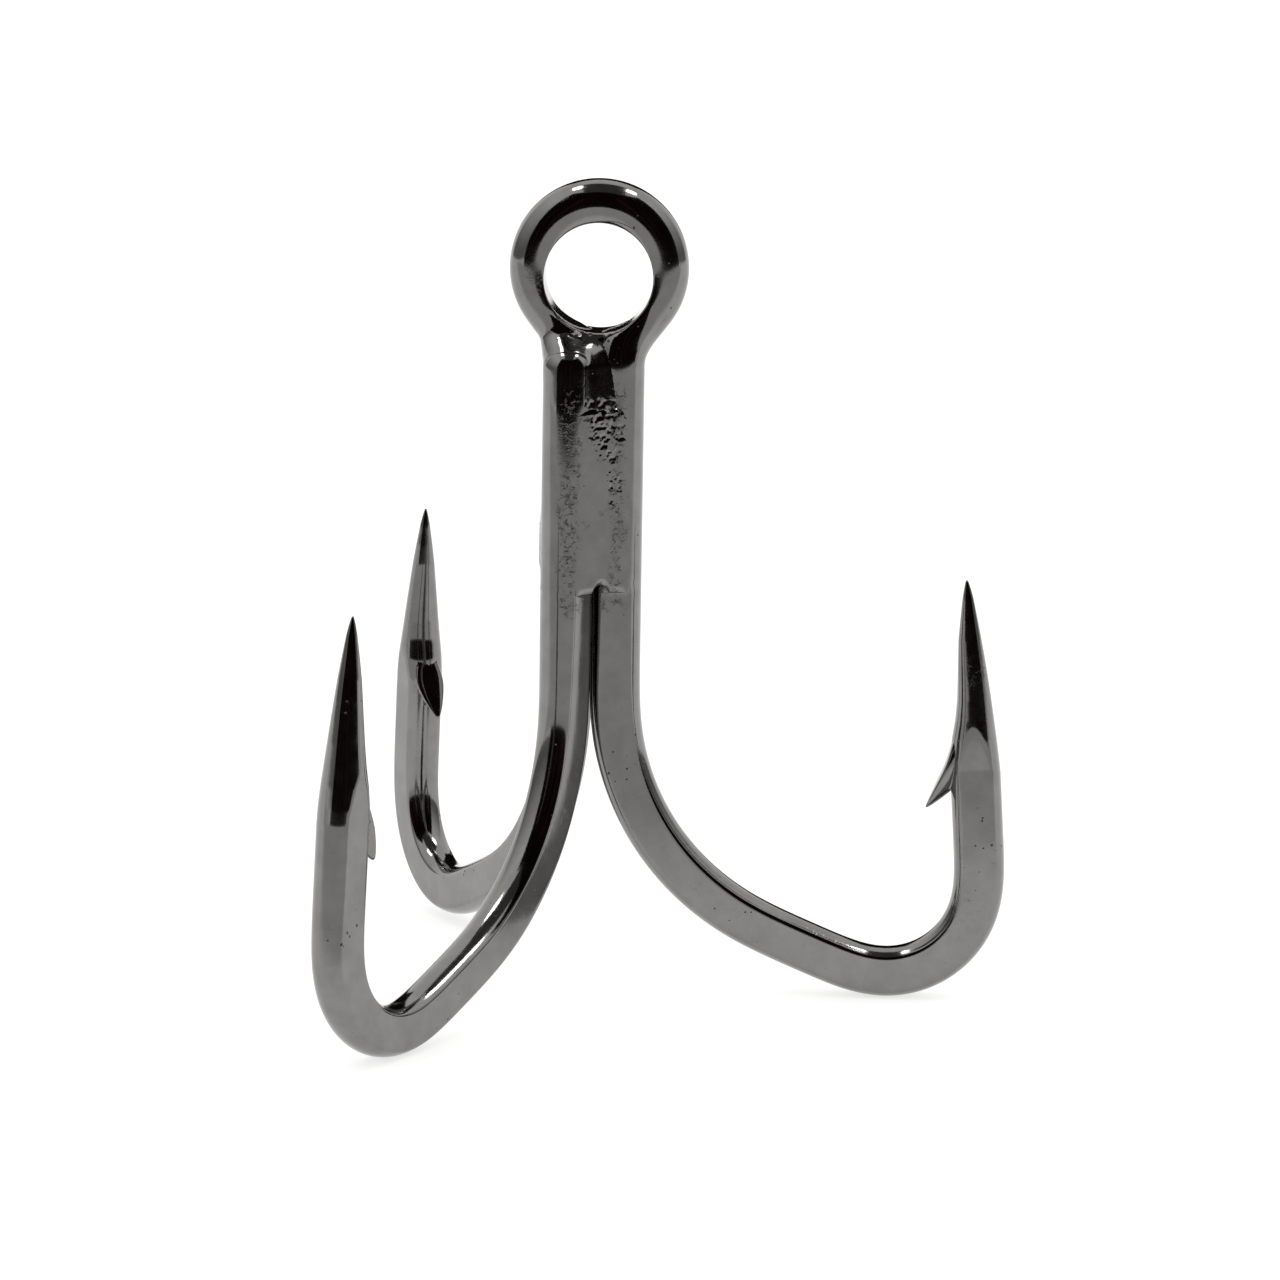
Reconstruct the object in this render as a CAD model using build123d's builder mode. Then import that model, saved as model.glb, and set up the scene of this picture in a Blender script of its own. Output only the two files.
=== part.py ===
from build123d import *
from math import cos, radians, sin, sqrt
import os

# Treble hook: a double hook bent from one wire that also forms the eye, a single
# hook laid in its groove, and the brazing metal that joins the three shanks.
# Millimetres, +Z up along the shank. The origin is the centre of the eye's bore,
# whose axis runs along Y. The first hook of the double points along +X.

# ---- driving dimensions ----
wire_d = 3.2                # round wire before forging
braze_gap = 0.28            # capillary gap between neighbouring shanks
forged_thickness = 2.25     # across the flats pressed on each bend
forge_top = 26.0            # the flats start at this height above the bends

eye_height = 45.6           # bore centre above the lowest point of the bends
bore_d = 6.8                # reamed bore of the eye
ring_r = 4.0                # centreline radius of the eye ring
bore_drop = 0.5             # the bore is reamed this far below the ring's centre
ring_leave = 36.0           # degrees below horizontal where each arm leaves the ring
neck_drop = 5.5             # bore centre down to the straight shanks

eye_shift_x = 0.65          # eye centre to shank axis, in the plane of the eye
eye_shift_y = 0.9           # eye centre to shank axis, across the eye

entry_radius = 16.0         # wide arc from the shank into the bend
entry_turn = 67.0
run_length = 5.7            # straight run between the two arcs
bend_radius = 5.9           # tight arc up into the leg
bend_turn = 115.5
leg_first = 19.1            # from the end of the tight arc to the tip
leg_rear = 18.85
leg_front = 19.95

point_length = 11.6         # spear point, measured from the tip
point_mid = 5.4
point_mid_r = 0.93
tip_r = 0.1

barb_tip_from_tip = 14.4    # barb positions are measured back from the tip
barb_root_from_tip = 12.7
barb_crest_from_tip = 11.5
barb_start_from_tip = 8.6
barb_reach = 3.26           # barb tip, inwards from the centre of the leg
barb_thickness = 1.1

azimuth_first = 0.0         # hooks are brazed by hand, not exactly 120 degrees apart
azimuth_rear = 119.0
azimuth_front = 238.0
rear_rise = 0.45            # the rear hook's bend sits this much higher

stub_top = 41.5             # top of the single hook's shank, above the bends
stub_fillet = 1.1
seam_top = 40.0             # top of the three seams, above the bends
seam_face = 1.45            # outer face of a seam, from the line between two wire centres
seam_root = -0.25           # inner end of a seam, where it meets the core
saddle_width = 4.4
saddle_depth = 2.2

# ---- derived ----
wire_r = wire_d / 2
shank_offset = (wire_d + braze_gap) / sqrt(3)     # wire centres sit on this circle
ground = -eye_height
ring_z = bore_drop
shank_top = -neck_drop - ground
saddle_top = eye_height - bore_d / 2              # the saddle closes the foot of the bore
entry_drop = entry_radius * sin(radians(entry_turn))
run_drop = run_length * cos(radians(entry_turn))
bend_drop = bend_radius * (1 - sin(radians(entry_turn)))
entry_height = wire_r + entry_drop + run_drop + bend_drop


def shank_point(azimuth, height):
    """Centre of a shank wire, at a height above the lowest bend."""
    angle = radians(azimuth)
    return Vector(
        -eye_shift_x + shank_offset * cos(angle),
        -eye_shift_y + shank_offset * sin(angle),
        ground + height,
    )


def hook_plane(azimuth, rise):
    """Plane of one hook: x runs out from the shank axis, y runs up from the ground."""
    angle = radians(azimuth)
    return Plane(
        origin=(-eye_shift_x, -eye_shift_y, ground + rise),
        x_dir=(cos(angle), sin(angle), 0),
        z_dir=(sin(angle), -cos(angle), 0),
    )


def make_hook(azimuth, rise, top, leg_length):
    """One shank with its bend, leg, spear point and barb."""
    plane = hook_plane(azimuth, rise)
    with BuildPart() as hook:
        with BuildLine(plane) as route:
            shank = Line((shank_offset, top - rise), (shank_offset, entry_height))
            entry = JernArc(shank @ 1, shank % 1, entry_radius, entry_turn)
            run = PolarLine(entry @ 1, run_length, direction=entry % 1)
            bend = JernArc(run @ 1, run % 1, bend_radius, bend_turn)
            leg = PolarLine(bend @ 1, leg_length - point_length, direction=bend % 1)
        with BuildSketch(Plane(origin=shank @ 0, z_dir=shank % 0)):
            Circle(wire_r)
        sweep(path=route.wire())

        # The leg frame: y runs along the leg to the tip, x points outwards.
        leg_up = leg % 1
        leg_out = leg_up.cross(plane.z_dir)
        leg_base = leg @ 1
        leg_plane = Plane(origin=leg_base, x_dir=leg_out, z_dir=leg_out.cross(leg_up))
        with BuildSketch(leg_plane):
            with BuildLine():
                ThreePointArc(
                    (wire_r, 0),
                    (point_mid_r, point_length - point_mid),
                    (tip_r, point_length),
                )
                Polyline((tip_r, point_length), (0, point_length), (0, 0), (wire_r, 0))
            make_face()
        revolve(axis=Axis(leg_base, leg_up))

        # The barb is raised from the inner side of the leg.
        with BuildSketch(leg_plane):
            with BuildLine():
                Polyline(
                    (0, point_length - barb_start_from_tip),
                    (-wire_r * 0.62, point_length - barb_start_from_tip),
                    (-wire_r * 1.1, point_length - barb_crest_from_tip),
                    (-barb_reach, point_length - barb_tip_from_tip),
                    (-wire_r * 0.66, point_length - barb_root_from_tip),
                    (0, point_length - barb_root_from_tip),
                    close=True,
                )
            make_face()
        extrude(amount=barb_thickness / 2, both=True)

        # Two flats pressed on the sides of the bend.
        reach = 40.0
        with BuildSketch(plane.offset(forged_thickness / 2), plane.offset(-forged_thickness / 2 - wire_r)):
            with Locations((reach / 2 - wire_r, forge_top / 2 - wire_d)):
                Rectangle(reach, forge_top + 2 * wire_d)
        extrude(amount=wire_r, mode=Mode.SUBTRACT)
    return hook.part


def make_neck(side, azimuth):
    """Arm from the eye ring down to the top of one shank."""
    leave = radians(ring_leave)
    start = Vector(side * ring_r * cos(leave), 0, ring_z - ring_r * sin(leave))
    start_way = Vector(-side * sin(leave), 0, -cos(leave))
    end = shank_point(azimuth, shank_top)
    with BuildPart() as neck:
        with BuildLine() as route:
            arm = Spline(start, end, tangents=[start_way, (0, 0, -1)])
        with BuildSketch(Plane(origin=arm @ 0, z_dir=arm % 0)):
            Circle(wire_r)
        sweep(path=route.wire())
    return neck.part


# ---- double hook: two hooks and the eye, one wire ----
first_hook = make_hook(azimuth_first, 0, shank_top, leg_first)
rear_hook = make_hook(azimuth_rear, rear_rise, shank_top, leg_rear)
right_neck = make_neck(1, azimuth_first)
left_neck = make_neck(-1, azimuth_rear)

with BuildPart() as double_hook_wire:
    with BuildLine(Plane.XZ) as ring_route:
        ring = CenterArc((0, ring_z), ring_r, -ring_leave, 180 + 2 * ring_leave)
    with BuildSketch(Plane(origin=ring @ 0, z_dir=ring % 0)):
        Circle(wire_r)
    sweep(path=ring_route.wire())
    add([first_hook, rear_hook, right_neck, left_neck])
    with BuildSketch(Plane.XZ):
        Circle(bore_d / 2)
    extrude(amount=wire_d, both=True, mode=Mode.SUBTRACT)
double_hook_wire.part.label = "double_hook_wire"

# ---- single hook ----
with BuildPart() as single_hook_wire:
    add(make_hook(azimuth_front, 0, stub_top, leg_front))
    fillet(single_hook_wire.edges().filter_by(GeomType.CIRCLE).group_by(Axis.Z)[-1], stub_fillet)
    add(double_hook_wire.part, mode=Mode.SUBTRACT)
single_hook_wire.part.label = "single_hook_wire"


# ---- brazing metal ----
def make_seam(azimuth_a, azimuth_b):
    """Seam in the groove between two shanks, from its outer face to the core."""
    first = shank_point(azimuth_a, forge_top)
    second = shank_point(azimuth_b, forge_top)
    middle = (first + second) / 2
    along = (second - first).normalized()
    plane = Plane(origin=middle, x_dir=along, z_dir=(0, 0, 1))
    outwards = middle - Vector(-eye_shift_x, -eye_shift_y, middle.Z)
    side = 1 if outwards.dot(plane.y_dir) > 0 else -1
    half_pitch = (second - first).length / 2
    with BuildPart() as seam:
        with BuildSketch(plane):
            with Locations((0, side * (seam_face + seam_root) / 2)):
                Rectangle(2 * half_pitch, seam_face - seam_root)
            with Locations((half_pitch, 0), (-half_pitch, 0)):
                Circle(wire_r, mode=Mode.SUBTRACT)
        extrude(amount=seam_top - forge_top)
    return seam.part


with BuildPart() as braze_seam_front:
    add(make_seam(azimuth_first, azimuth_front))
braze_seam_front.part.label = "braze_seam_front"

with BuildPart() as braze_seam_left:
    add(make_seam(azimuth_front, azimuth_rear))
braze_seam_left.part.label = "braze_seam_left"

with BuildPart() as braze_seam_rear:
    add(make_seam(azimuth_rear, azimuth_first))
braze_seam_rear.part.label = "braze_seam_rear"

seams = [braze_seam_front, braze_seam_left, braze_seam_rear]
wires = [double_hook_wire, single_hook_wire]

with BuildPart() as braze_core:
    with BuildSketch(Plane((-eye_shift_x, -eye_shift_y, ground + forge_top))):
        RegularPolygon(shank_offset, 3)
    extrude(amount=seam_top - forge_top)
    for piece in wires + seams:
        add(piece.part, mode=Mode.SUBTRACT)
braze_core.part.label = "braze_core"

with BuildPart() as braze_eye_saddle:
    with BuildSketch(Plane.XY.offset(ground + seam_top)):
        Rectangle(saddle_width, saddle_depth)
    extrude(amount=saddle_top - seam_top)
    for piece in wires:
        add(piece.part, mode=Mode.SUBTRACT)
braze_eye_saddle.part.label = "braze_eye_saddle"

# ---- export ----
os.makedirs("parts", exist_ok=True)
for piece in wires + seams + [braze_core, braze_eye_saddle]:
    export_step(piece.part, f"parts/{piece.part.label}.step")
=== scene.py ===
"""Looks of the treble hook: plated wires, brazing metal and a plain studio, round the CAD frame."""

import math

import bmesh
import bpy
import numpy as np
from mathutils import Matrix, Vector


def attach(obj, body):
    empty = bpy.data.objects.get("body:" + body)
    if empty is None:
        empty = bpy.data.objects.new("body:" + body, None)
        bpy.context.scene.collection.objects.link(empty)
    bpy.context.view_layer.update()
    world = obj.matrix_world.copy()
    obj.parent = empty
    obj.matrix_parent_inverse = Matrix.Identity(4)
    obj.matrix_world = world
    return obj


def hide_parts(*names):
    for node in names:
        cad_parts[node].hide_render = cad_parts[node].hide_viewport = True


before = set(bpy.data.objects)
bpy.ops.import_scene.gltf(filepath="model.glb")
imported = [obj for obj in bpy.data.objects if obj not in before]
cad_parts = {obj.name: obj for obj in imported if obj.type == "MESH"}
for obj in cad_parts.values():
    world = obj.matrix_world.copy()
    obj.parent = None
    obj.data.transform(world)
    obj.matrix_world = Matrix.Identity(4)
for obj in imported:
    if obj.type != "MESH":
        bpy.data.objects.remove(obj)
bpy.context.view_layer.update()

MM = 0.001

# ---- sizes of the hook, in millimetres, in the CAD frame ----
EYE_HEIGHT = 45.6           # bore centre above the lowest point of the bends
GROUND = -EYE_HEIGHT
WIRE_R = 1.6
BRAZE_GAP = 0.28            # between two wires
BORE_R = 3.4
RING_R = 4.0
RING_Z = 0.5
RING_LEAVE = 36.0           # degrees below horizontal where the arms leave the ring
NECK_DROP = 5.5             # from the bore centre down to the straight shanks
SHANK_TOP = EYE_HEIGHT - NECK_DROP
SHANK_X, SHANK_Y = -0.65, -0.9      # middle of the three shanks
SHANK_OFFSET = (2 * WIRE_R + BRAZE_GAP) / math.sqrt(3)
ENTRY_R, ENTRY_TURN = 16.1, math.radians(67.0)
RUN = 5.8
BEND_R, BEND_TURN = 5.7, math.radians(117.0)
FIRST_LEG, REAR_LEG, FRONT_LEG = 19.35, 18.95, 20.2
BEND_EASE = 1.5             # the curvature of a bend grows and fades over about this length
AZ_FIRST, AZ_REAR, AZ_FRONT = math.radians(0.0), math.radians(119.0), math.radians(238.0)
REAR_RISE = 0.45            # the rear hook sits this much higher
ARM_PULL = 0.38             # how far the arms keep their end directions, as a share of their length

STUB_TOP = 41.4
STUB_ROUNDING = 1.25
DOME_FROM = 8               # degrees from upright of the first ring on the rounded end
LEAN_FROM = 37.6            # the stub leans back from this height
LEAN_LOW = 30.5             # a slight lean starts here
EARLY_LEAN = 0.5            # share of the full lean that is reached below the kink
KINK = 0.15                 # height over which the full lean sets in
LEAN = math.tan(math.radians(6))
FACE_LEAN = math.tan(math.radians(8))       # slope that turns the front of the saddle

# Flats of the wire: half thickness across them, by height and by distance from the tip.
UNCUT = 1.2                 # a half thickness this many times the radius leaves the wire round
ROUND = WIRE_R * UNCUT
FORGE_TOP = 26.1            # the flats start here, just under the seams
FORGE_STEP = 0.25           # height of the shallow step at their upper ends
FORGE_FULL = 15.0           # they reach their full depth at this height
FLAT_IN_STEP = 1.45
FLAT_AT_TOP = 1.33
FLAT_IN_BEND = 1.16
FLAT_ON_LEG = 1.2
BEND_AND_LEG = 40.0         # nearer to the tip than this, the flats go by the distance from it
LEG_FROM, LEG_FULL = 21.0, 16.0
RUNOUT = 12.0               # nearer than this the flats fade out towards the ground point
RUNOUT_SLOPE = 0.075
EDGE = 0.1                  # width over which two faces round into each other
BORE_EDGE = EDGE * 1.6      # the same where the bore cuts the wires
LAST_CORNER = math.radians(78)      # a flat starts no later than this from the gape side
BORE_CORNER = math.radians(58)      # about where the bore's cut starts on the ring's section
BORE_OPENS = 3.0            # the corner gets there over this height above the straight shanks
FAR = 9.0                   # more than any section reaches

# Spear point: distance from the tip, outer, inner and sideways half widths.
POINT = (
    (0.0, 0.07, 0.07, 0.06),
    (0.5, 0.22, 0.2, 0.2),
    (1.1, 0.36, 0.33, 0.33),
    (2.4, 0.56, 0.52, 0.54),
    (3.7, 0.75, 0.7, 0.73),
    (5.0, 0.92, 0.79, 0.88),
    (6.2, 1.06, 0.86, 1.02),
    (7.5, 1.2, 0.95, 1.16),
    (8.8, 1.32, 1.12, 1.31),
    (10.1, 1.44, 1.4, 1.46),
    (11.4, 1.54, 1.56, 1.57),
    (12.4, 1.6, 1.6, 1.6),
)

# Barb: distance from the tip and height over the leg's middle, along its crest and its underside.
BARB_CREST = ((8.4, 0.7), (9.8, 1.2), (10.8, 1.56), (11.6, 1.84), (12.5, 2.3), (13.5, 2.82), (14.45, 3.3))
BARB_UNDER = ((10.4, 0.1), (11.2, 0.1), (12.0, 0.2), (12.95, 1.0), (13.5, 1.6), (14.1, 2.45), (14.55, 3.22))
BARB_WIDTHS = (0.34, 0.7, 0.96, 1.08, 0.88, 0.55, 0.1)
# Half of its section: share of the way from crest to underside, and share of the width.
BARB_SECTION = ((0.0, 0.0), (0.0, 0.5), (0.04, 0.9), (0.22, 1.0), (0.5, 0.78), (0.8, 0.42), (1.0, 0.12))
REAR_BARB_LOWER, REAR_BARB_LENGTH = -0.8, 0.8
FRONT_BARB_LOWER = 0.6

# Seams.
SEAM_BOTTOM = 26.0
SEAM_SINKS = 37.35          # from here up a seam dips under the saddle
SEAM_END = 38.3
SEAM_OVERLAP = 0.12         # the face runs this far past the lines where it touches the wires
SEAM_BURIED = 0.1           # the inner side lies this deep in the wires
MENISCUS = 0.55             # the lower end climbs this much at its middle
MENISCUS_HALF = 0.62        # and this is half the width of the climb
ROLLED_DEPTH = MENISCUS * 0.5       # the lower edge rolls in this far
ROLLED_HEIGHT = 0.5
SEAM_HOLLOW = 0.05          # the face hangs in this far between the wires
SEAM_WAVES = ((0.025, 2.2), (0.012, 0.9))       # depth and cell size of two slow waves in it
SEAM_PITS = ((1.0, 0.3), (0.7, 0.14), (0.9, 0.62))      # share and cell size of the pits
SEAM_PIT_DEPTH = 0.08
SEAM_CURL = 0.45            # how fast the face falls off beyond the lines where it touches the wires
SEAM_SINK_DEPTH = 0.4
SEAM_BACK = (84, -6, 10)    # bearings on a wire of the inner side's end points, and their number
ROUGH_PATCH = ((0.35, 36.7), (0.95, 1.7), 1.7, 0.7)     # middle, size, rim and core
ROUGH_SPECK = ((0.7, 32.8), (0.5, 1.0), 1.4, 0.8)
SWELL = (26.2, 28.0, 29.5, 33.2)    # a lump of spare metal grows and fades between these heights

# Saddle.
SADDLE_STEP = 0.07
SADDLE_LOW = np.array([-5.4, -5.2, GROUND + 37.0])
SADDLE_HIGH = np.array([5.2, 3.6, GROUND + 43.4])
SADDLE_SHELL = 0.12         # it reaches this deep into the wires
PROUD = 0.006               # it ends where it stands less than this above them
LID = 42.9                  # its top, before the bore is cut
BRIDGE_FRONT = np.array([-1.85, -1.9, GROUND + 39.8])   # spare metal from the stub to the left arm
BRIDGE_BACK = np.array([-2.4, -0.1, GROUND + 42.3])
BRIDGE_R = 1.32
NECK_STATIONS = 18          # of each shank, for the distances to the wires
PRISM_INSET = 0.03          # the filler's faces lie this deep inside the planes that touch two wires
LID_LEVEL, LID_FALL = 0.6, 0.25     # nearer the front than this depth, the lid falls at this slope
RETREAT_FROM = 40.3         # the front slopes back above this height
RETREAT, RETREAT_POWER = 0.9, 1.3
PRISM_BLEND, LID_BLEND, BRIDGE_BLEND = 0.3, 0.6, 0.5    # widths over which the parts run together
ARM_BLEND, RING_BLEND, ARM_TO_RING, BORE_BLEND = 0.12, 0.4, 0.02, 0.45
FILLET, FILLET_MORE = 0.12, 0.8     # round the stub, growing by the second between these heights
FILLET_FROM, FILLET_FULL = 40.7, 42.0
RIGHT_PITS = ((2.2, -3.0), (1.2, 0.8))      # middle and size of the pitted places
LEFT_PITS = ((-1.3, -3.6), (1.0, 0.5))
LIP = (-2.2, -1.4)          # the left place fades in between these depths
FRINGE = 37.8               # height of the pitted lower edge
SADDLE_PITS = ((1.0, 0.24), (0.5, 0.15))    # share and cell size of the pits
SADDLE_PIT_DEPTH = 0.1
SADDLE_FLOOR = 0.45         # the underside is this far above the lowest level of the grid
PROUD_STEEPNESS = 6         # makes the height over the wires grow about as fast as a distance

# Bands of pitted plating on the stem: bearing round it and half width, in degrees.
WORN_BANDS = ((256.0, 9.0), (318.0, 8.0), (197.0, 7.0), (160.0, 6.0), (84.0, 8.0), (34.0, 8.0))
WORN_STEM = (24.0, 26.0, 37.6, 39.5)        # they grow and fade between these heights
WORN_WOBBLE = ((0.6, 1.1), (0.3, 0.4))      # share and cell size of the noise in their edges

# Fineness of the meshes.
AROUND = 112                # points round a wire
PATH_STEP = 0.02
LEAD = 10.0                 # straight shank at the start of an integrated path
STATION_STEP = 0.33
POINT_ZONE = 12.6           # closer stations from here to the tip
POINT_STATIONS = 96
ARM_STATIONS = 16
RING_STATIONS = 96
DOME_STATIONS = 14
SEAM_ACROSS = 64
SEAM_STATIONS = 220


# ---- meshes ----
def new_piece(name, verts, faces):
    """Smooth object from points in millimetres."""
    mesh = bpy.data.meshes.new(name)
    mesh.from_pydata((np.asarray(verts) * MM).tolist(), [], [list(map(int, f)) for f in faces])
    mesh.validate()
    mesh.polygons.foreach_set("use_smooth", [True] * len(mesh.polygons))
    mesh.update()
    obj = bpy.data.objects.new(name, mesh)
    bpy.context.scene.collection.objects.link(obj)
    return obj


def tube_faces(stations, around):
    """Quads of a tube of rings of points, with its two ends closed."""
    i = np.arange(stations - 1)[:, None] * around
    j = np.arange(around)[None, :]
    k = (j + 1) % around
    quads = np.stack([i + j, i + k, i + around + k, i + around + j], -1).reshape(-1, 4).tolist()
    quads.append(list(range(around))[::-1])
    quads.append(list(range((stations - 1) * around, stations * around)))
    return quads


def outward(obj):
    """Turns the faces of a closed mesh outwards."""
    work = bmesh.new()
    work.from_mesh(obj.data)
    bmesh.ops.recalc_face_normals(work, faces=work.faces)
    work.to_mesh(obj.data)
    work.free()


def bake_modifiers(obj):
    """Replaces the mesh by what its modifiers make of it."""
    graph = bpy.context.evaluated_depsgraph_get()
    mesh = bpy.data.meshes.new_from_object(obj.evaluated_get(graph))
    obj.modifiers.clear()
    old, obj.data = obj.data, mesh
    bpy.data.meshes.remove(old)


def weld(body, *extras):
    """Joins the barbs to their wire as one closed solid."""
    for extra in extras:
        join = body.modifiers.new("weld", "BOOLEAN")
        join.operation = "UNION"
        join.solver = "EXACT"
        join.object = extra
        bake_modifiers(body)
        bpy.data.objects.remove(extra)
    body.data.polygons.foreach_set("use_smooth", [True] * len(body.data.polygons))


def keep_largest(obj):
    """Drops specks that the net leaves apart from the main body."""
    work = bmesh.new()
    work.from_mesh(obj.data)
    work.verts.ensure_lookup_table()
    seen = set()
    groups = []
    for seed in work.verts:
        if seed.index in seen:
            continue
        seen.add(seed.index)
        stack = [seed]
        group = []
        while stack:
            vert = stack.pop()
            group.append(vert)
            for edge in vert.link_edges:
                other = edge.other_vert(vert)
                if other.index not in seen:
                    seen.add(other.index)
                    stack.append(other)
        groups.append(group)
    groups.sort(key=len)
    for group in groups[:-1]:
        bmesh.ops.delete(work, geom=group, context="VERTS")
    work.to_mesh(obj.data)
    work.free()


# ---- formulas ----
def smooth_min(a, b, width):
    """The smaller of two values, rounded where they differ by less than a width."""
    blend = np.maximum(width - np.abs(a - b), 0) / width
    return np.minimum(a, b) - blend * blend * width / 4


def smooth_max(a, b, width):
    return -smooth_min(-a, -b, width)


def smooth_step(low, high, x):
    """Rises from 0 at low to 1 at high. With high below low it falls."""
    t = np.clip((x - low) / (high - low), 0, 1)
    return t * t * (3 - 2 * t)


def hump(x, edges):
    """1 between the two inner edges, fading to 0 at the outer ones."""
    grows, full, still, gone = edges
    return smooth_step(grows, full, x) * smooth_step(gone, still, x)


def blotch(a, b, middle, size, rim=1.3, core=0.5):
    """Soft-edged ellipse in a plane: 1 inside its core, 0 outside its rim."""
    return smooth_step(rim, core, np.hypot((a - middle[0]) / size[0], (b - middle[1]) / size[1]))


def lattice_noise(points, cell, seed):
    """Smooth value noise between -1 and 1 at millimetre points, the same on every run."""
    p = np.asarray(points, float) / cell
    base = np.floor(p).astype(np.int64)
    f = p - base
    f = f * f * (3 - 2 * f)
    total = np.zeros(p.shape[:-1])
    for corner in np.ndindex(2, 2, 2):
        c = base + np.array(corner)
        h = (c[..., 0] * 73856093) ^ (c[..., 1] * 19349663) ^ (c[..., 2] * 83492791) ^ (seed * 2654435)
        h = (h ^ (h >> 13)) * 1274126177
        value = ((h ^ (h >> 16)) & 0xFFFF) / 32767.5 - 1
        weight = np.prod(np.where(np.array(corner) == 1, f, 1 - f), -1)
        total += value * weight
    return total


def layered_noise(points, layers, seed):
    """Sum of noises, each given by its share and its cell size."""
    return sum(share * lattice_noise(points, cell, seed + k) for k, (share, cell) in enumerate(layers))


# ---- paths of the wires ----
def wire_centre(azimuth):
    """Middle of one shank in a level plane."""
    return np.array([SHANK_X + SHANK_OFFSET * math.cos(azimuth), SHANK_Y + SHANK_OFFSET * math.sin(azimuth)])


def hook_path(azimuth, rise, top, leg):
    """Stations from the top of a shank to the tip: centre, gape side, distance from the tip, height.

    The bends are integrated from a curvature that is blurred, so that it grows and fades smoothly.
    """
    radial = np.array([math.cos(azimuth), math.sin(azimuth), 0])
    up = np.array([0, 0, 1.0])
    turns = (0, ENTRY_TURN, 0, BEND_TURN, 0)
    ends = np.cumsum([LEAD, ENTRY_R * ENTRY_TURN, RUN, BEND_R * BEND_TURN, leg])
    fine = np.arange(0, ends[-1], PATH_STEP)
    bend = np.zeros_like(fine)
    start = 0.0
    for end, turn in zip(ends, turns):
        bend[(fine >= start) & (fine < end)] = turn / (end - start)
        start = end
    reach = np.arange(-5 * BEND_EASE, 5 * BEND_EASE, PATH_STEP)
    bell = np.exp(-0.5 * (reach / BEND_EASE) ** 2)
    angle = np.cumsum(np.convolve(bend, bell / bell.sum(), "same")) * PATH_STEP
    x = SHANK_OFFSET + np.cumsum(np.sin(angle)) * PATH_STEP
    y = -np.cumsum(np.cos(angle)) * PATH_STEP
    y += WIRE_R - y.min()               # the lowest point of the wire touches the ground
    extra = top - rise - y[0]           # the straight shank above the lead
    s = np.concatenate([[0], fine + extra])
    x, y, angle = (np.concatenate([[end], v]) for end, v in ((x[0], x), (top - rise, y), (0, angle)))
    total = s[-1]
    plain = np.linspace(0, total - POINT_ZONE, int((total - POINT_ZONE) / STATION_STEP))
    close = np.linspace(total - POINT_ZONE, total, POINT_STATIONS)
    stations = np.concatenate([plain, close[1:]])
    x, y, angle = (np.interp(stations, s, v) for v in (x, y, angle))
    origin = np.array([SHANK_X, SHANK_Y, GROUND + rise])
    centre = origin + x[:, None] * radial + y[:, None] * up
    gape = np.cos(angle)[:, None] * radial + np.sin(angle)[:, None] * up
    return centre, gape, total - stations, y + rise


def neck_path(side, azimuth):
    """Arm from the ring down to the top of a shank, as one Bezier curve, and its tangents."""
    leave = math.radians(RING_LEAVE)
    a = np.array([side * RING_R * math.cos(leave), 0, RING_Z - RING_R * math.sin(leave)])
    d = np.array([*wire_centre(azimuth), GROUND + SHANK_TOP])
    pull = np.linalg.norm(d - a) * ARM_PULL
    b = a + pull * np.array([-side * math.sin(leave), 0, -math.cos(leave)])
    c = d + pull * np.array([0, 0, 1.0])
    t = np.linspace(0, 1, ARM_STATIONS)[:, None]
    at = (1 - t) ** 3 * a + 3 * (1 - t) ** 2 * t * b + 3 * (1 - t) * t * t * c + t ** 3 * d
    way = 3 * (1 - t) ** 2 * (b - a) + 6 * (1 - t) * t * (c - b) + 3 * t * t * (d - c)
    return at, way / np.linalg.norm(way, axis=1)[:, None]


def leaning(height):
    """Height above the kink of the stub, with a slight lean that starts below it."""
    rise = np.maximum(height - LEAN_FROM, 0)
    early = np.clip(height - LEAN_LOW, 0, LEAN_FROM - LEAN_LOW)
    before = 0.5 * early * early / (LEAN_FROM - LEAN_LOW) * EARLY_LEAN
    return before + rise * rise / (rise + KINK)


FIRST = hook_path(AZ_FIRST, 0, SHANK_TOP, FIRST_LEG)
REAR = hook_path(AZ_REAR, REAR_RISE, SHANK_TOP, REAR_LEG)
FRONT = hook_path(AZ_FRONT, 0, STUB_TOP, FRONT_LEG)
RIGHT_ARM = neck_path(1, AZ_FIRST)
LEFT_ARM = neck_path(-1, AZ_REAR)


# ---- sections of the wires ----
def hook_sections(from_tip, height):
    """Half widths of each section: outer, inner, sideways, and half thickness across the flats."""
    table = np.array(POINT)
    outer, inner, side = (np.interp(from_tip, table[:, 0], table[:, k]) for k in (1, 2, 3))
    deepening = smooth_step(FORGE_TOP, FORGE_FULL, height)
    on_shank = FLAT_AT_TOP + (FLAT_IN_BEND - FLAT_AT_TOP) * deepening
    flat = np.where(height < FORGE_TOP + FORGE_STEP, on_shank, ROUND)
    flat = np.where((height < FORGE_TOP + FORGE_STEP) & (height > FORGE_TOP), FLAT_IN_STEP, flat)
    on_leg = smooth_step(LEG_FROM, LEG_FULL, from_tip)
    flat = np.where(from_tip < BEND_AND_LEG, FLAT_IN_BEND + (FLAT_ON_LEG - FLAT_IN_BEND) * on_leg, flat)
    flat = flat + RUNOUT_SLOPE * np.maximum(RUNOUT - from_tip, 0)
    return outer, inner, side, flat


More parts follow.
